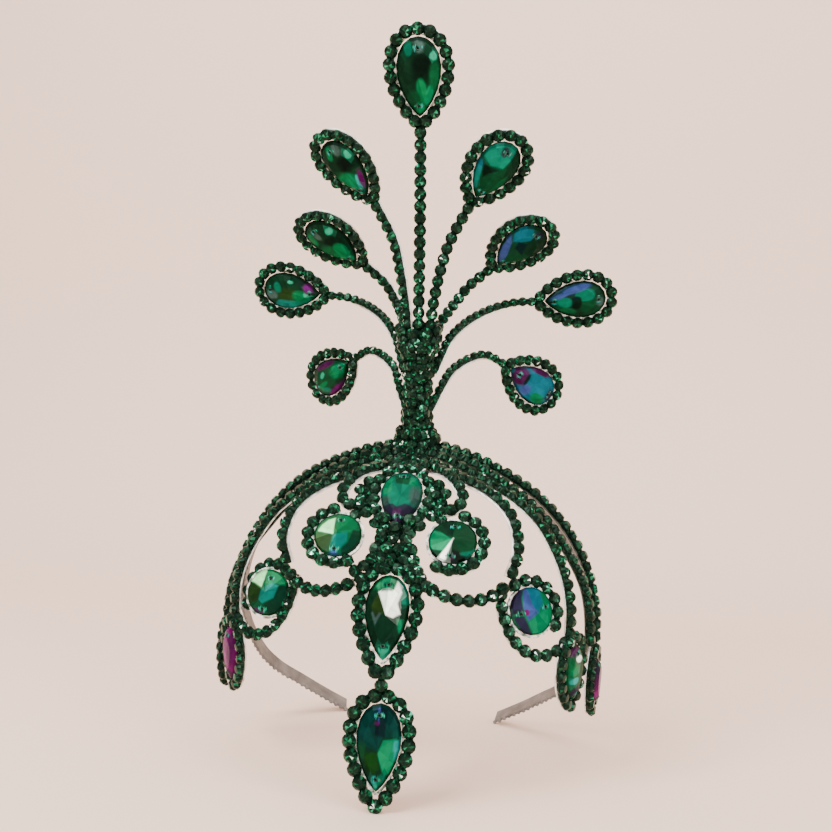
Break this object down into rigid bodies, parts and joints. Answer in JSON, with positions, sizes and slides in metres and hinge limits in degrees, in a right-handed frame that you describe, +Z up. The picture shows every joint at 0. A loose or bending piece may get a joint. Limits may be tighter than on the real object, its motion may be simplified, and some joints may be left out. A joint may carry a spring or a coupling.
{
  "type": "rhinestone headpiece",
  "caption": "Tall stage crown with a fan of stemmed pear crystals above arched stone rows, a centre drop over the brow and a flat metal headband.",
  "frame": {"origin": "on the floor, at the middle of the outline seen from above, with the piece resting on the drop's tip and the two ends of its headband", "axes": "+Z up, +X to the wearer's left, -Y towards the front where the drop hangs"},
  "size_m": [0.171, 0.1398, 0.2997],
  "materials": {
    "small_stones": "dark green cut and foiled stones on silvery strip",
    "cut_crystal": "emerald faceted crystal, foiled behind, with a violet to turquoise shimmer",
    "headband_metal": "dull grey metal strip"
  },
  "bodies": {
    "root": {"arch_back": "small_stones", "arch_ear": "small_stones", "arch_loop": "small_stones", "arch_scroll": "small_stones", "arch_side": "small_stones", "brow_knot": "small_stones", "brow_ring": "small_stones", "crown_bridge": "small_stones", "crown_ring": "small_stones", "drop_link": "small_stones", "drop_ring": "small_stones", "ear_ring_left": "small_stones", "ear_ring_right": "small_stones", "fan_1_left": "small_stones", "fan_1_right": "small_stones", "fan_2_left": "small_stones", "fan_2_right": "small_stones", "fan_3_left": "small_stones", "fan_3_right": "small_stones", "fan_4_left": "small_stones", "fan_4_right": "small_stones", "fan_crest": "small_stones", "headband": "headband_metal", "scroll_ring_left": "small_stones", "scroll_ring_right": "small_stones", "side_ring_left": "small_stones", "side_ring_right": "small_stones", "stone_brow": "cut_crystal", "stone_crest": "cut_crystal", "stone_crown": "cut_crystal", "stone_drop": "cut_crystal", "stone_ear_left": "cut_crystal", "stone_ear_right": "cut_crystal", "stone_fan_1_left": "cut_crystal", "stone_fan_1_right": "cut_crystal", "stone_fan_2_left": "cut_crystal", "stone_fan_2_right": "cut_crystal", "stone_fan_3_left": "cut_crystal", "stone_fan_3_right": "cut_crystal", "stone_fan_4_left": "cut_crystal", "stone_fan_4_right": "cut_crystal", "stone_scroll_left": "cut_crystal", "stone_scroll_right": "cut_crystal", "stone_side_left": "cut_crystal", "stone_side_right": "cut_crystal", "stone_temple_left": "cut_crystal", "stone_temple_right": "cut_crystal", "swag_left": "small_stones", "swag_right": "small_stones", "temple_loop_left": "small_stones", "temple_loop_right": "small_stones", "temple_spiral_left": "small_stones", "temple_spiral_right": "small_stones", "trunk": "small_stones"}
  },
  "joints": []
}
